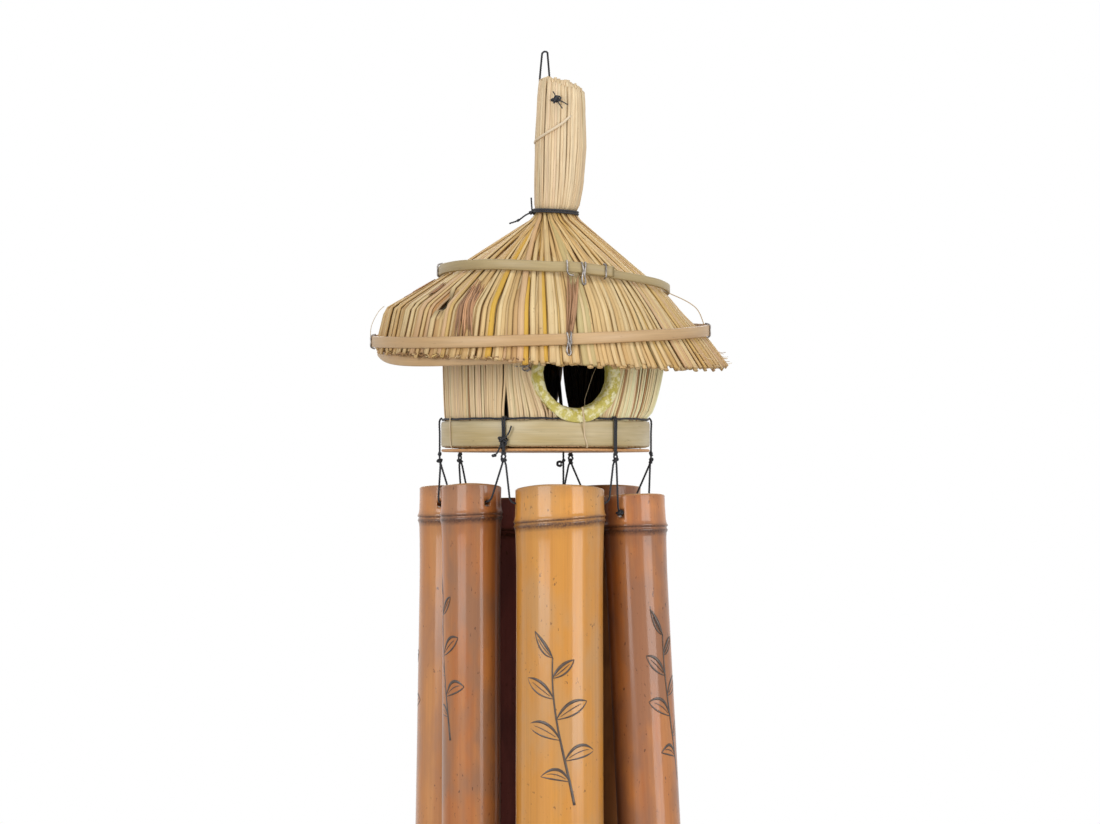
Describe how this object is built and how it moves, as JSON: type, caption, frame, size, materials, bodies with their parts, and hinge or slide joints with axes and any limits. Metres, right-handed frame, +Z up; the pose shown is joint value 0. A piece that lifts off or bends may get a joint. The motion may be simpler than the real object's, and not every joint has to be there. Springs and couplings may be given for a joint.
{
  "type": "bamboo wind chime",
  "caption": "Hanging bamboo wind chime: a thatched straw birdhouse with a round bark entrance carries hollow bamboo tubes on black cords around a striker and wind sail.",
  "frame": {"origin": "the point where the hanging loop bears on its hook", "axes": "+Z up along the hanging line, -Y out of the entrance, +X to the right when looking at the entrance"},
  "size_m": [0.1849, 0.1843, 0.6312],
  "materials": {
    "straw": "dry straw, matt, cream to golden",
    "olive_bamboo": "split bamboo skin, olive-khaki, satin",
    "tan_bamboo": "split bamboo, tan, satin",
    "bark": "crackled yellow-green bark wrap, matt",
    "floor_board": "thin board, orange-tan, matt",
    "bamboo_culm": "varnished bamboo, golden to reddish brown, glossy",
    "coconut_shell": "polished coconut shell, satin",
    "black_cord": "black twisted cord, matt"
  },
  "bodies": {
    "hanger": {"hanging_loop": "black_cord"},
    "house": {"straw_handle": "straw", "neck_tie": "black_cord", "roof_bundle_1": "straw", "roof_bundle_2": "straw", "roof_bundle_3": "straw", "roof_bundle_4": "straw", "roof_bundle_5": "straw", "roof_bundle_6": "straw", "roof_bundle_7": "straw", "roof_bundle_8": "straw", "roof_bundle_9": "straw", "roof_bundle_10": "straw", "upper_hoop": "olive_bamboo", "lower_hoop": "tan_bamboo", "eave_liner": "tan_bamboo", "wall_panel_1": "straw", "wall_panel_2": "straw", "wall_panel_3": "straw", "wall_panel_4": "straw", "wall_panel_5": "straw", "wall_panel_6": "straw", "wall_panel_7": "straw", "wall_top_liner": "tan_bamboo", "wall_base_liner": "tan_bamboo", "base_band": "olive_bamboo", "floor": "floor_board", "entrance_ring": "bark", "lashing": "black_cord", "hitch_1": "black_cord", "hitch_2": "black_cord", "hitch_3": "black_cord", "hitch_4": "black_cord", "hitch_5": "black_cord", "hitch_6": "black_cord"},
    "sling_1": {"tube_cord_1": "black_cord"},
    "chime_1": {"tube_1": "bamboo_culm"},
    "sling_2": {"tube_cord_2": "black_cord"},
    "chime_2": {"tube_2": "bamboo_culm"},
    "sling_3": {"tube_cord_3": "black_cord"},
    "chime_3": {"tube_3": "bamboo_culm"},
    "sling_4": {"tube_cord_4": "black_cord"},
    "chime_4": {"tube_4": "bamboo_culm"},
    "sling_5": {"tube_cord_5": "black_cord"},
    "chime_5": {"tube_5": "bamboo_culm"},
    "sling_6": {"tube_cord_6": "black_cord"},
    "chime_6": {"tube_6": "bamboo_culm"},
    "striker_pivot": {"striker_knot": "black_cord"},
    "striker": {"middle_cord": "black_cord", "striker": "coconut_shell"},
    "sail": {"sail_cord": "black_cord", "sail": "coconut_shell"}
  },
  "joints": [
    {"name": "house_swing", "type": "hinge", "parent": "hanger", "child": "house", "pos_m": [0.0015, 0, -0.0254], "axis": [0, 1, 0], "range_deg": [-15, 15]},
    {"name": "sling_1_swing", "type": "hinge", "parent": "house", "child": "sling_1", "pos_m": [-0.0064, -0.04581, -0.21058], "axis": [-0.9904, 0.1383, 0], "range_deg": [-0.5, 25]},
    {"name": "chime_1_swing", "type": "hinge", "parent": "sling_1", "child": "chime_1", "pos_m": [-0.0064, -0.04581, -0.23258], "axis": [-0.9904, 0.1383, 0], "range_deg": [-0.5, 15]},
    {"name": "sling_2_swing", "type": "hinge", "parent": "house", "child": "sling_2", "pos_m": [0.03707, -0.03285, -0.21058], "axis": [-0.6633, -0.7484, 0], "range_deg": [-0.5, 25]},
    {"name": "chime_2_swing", "type": "hinge", "parent": "sling_2", "child": "chime_2", "pos_m": [0.03707, -0.03285, -0.23688], "axis": [-0.6633, -0.7484, 0], "range_deg": [-3.6, 15]},
    {"name": "sling_3_swing", "type": "hinge", "parent": "house", "child": "sling_3", "pos_m": [0.0401, 0.01535, -0.21058], "axis": [0.3576, -0.9339, 0], "range_deg": [-0.5, 25]},
    {"name": "chime_3_swing", "type": "hinge", "parent": "sling_3", "child": "chime_3", "pos_m": [0.0401, 0.01535, -0.23188], "axis": [0.3576, -0.9339, 0], "range_deg": [-0.5, 15]},
    {"name": "sling_4_swing", "type": "hinge", "parent": "house", "child": "sling_4", "pos_m": [-0.00266, 0.0448, -0.21058], "axis": [0.9982, 0.0593, 0], "range_deg": [-0.5, 25]},
    {"name": "chime_4_swing", "type": "hinge", "parent": "sling_4", "child": "chime_4", "pos_m": [-0.00266, 0.0448, -0.23848], "axis": [0.9982, 0.0593, 0], "range_deg": [-0.5, 15]},
    {"name": "sling_5_swing", "type": "hinge", "parent": "house", "child": "sling_5", "pos_m": [-0.04276, 0.02944, -0.21058], "axis": [0.5671, 0.8236, 0], "range_deg": [-0.5, 25]},
    {"name": "chime_5_swing", "type": "hinge", "parent": "sling_5", "child": "chime_5", "pos_m": [-0.04276, 0.02944, -0.23208], "axis": [0.5671, 0.8236, 0], "range_deg": [-1.3, 15]},
    {"name": "sling_6_swing", "type": "hinge", "parent": "house", "child": "sling_6", "pos_m": [-0.04346, -0.01296, -0.21058], "axis": [-0.2857, 0.9583, 0], "range_deg": [-0.5, 25]},
    {"name": "chime_6_swing", "type": "hinge", "parent": "sling_6", "child": "chime_6", "pos_m": [-0.04346, -0.01296, -0.23158], "axis": [-0.2857, 0.9583, 0], "range_deg": [-0.5, 15]},
    {"name": "striker_fore_aft", "type": "hinge", "parent": "house", "child": "striker_pivot", "pos_m": [0.00831, -0.00461, -0.20178], "axis": [1, 0, 0], "range_deg": [-1.1, 1.1]},
    {"name": "striker_side", "type": "hinge", "parent": "striker_pivot", "child": "striker", "pos_m": [0.00831, -0.00461, -0.20178], "axis": [0, 1, 0], "range_deg": [-1.1, 1.1]},
    {"name": "sail_flap", "type": "hinge", "parent": "striker", "child": "sail", "pos_m": [0.00831, -0.00461, -0.56498], "axis": [1, 0, 0], "range_deg": [-35, 35]}
  ]
}
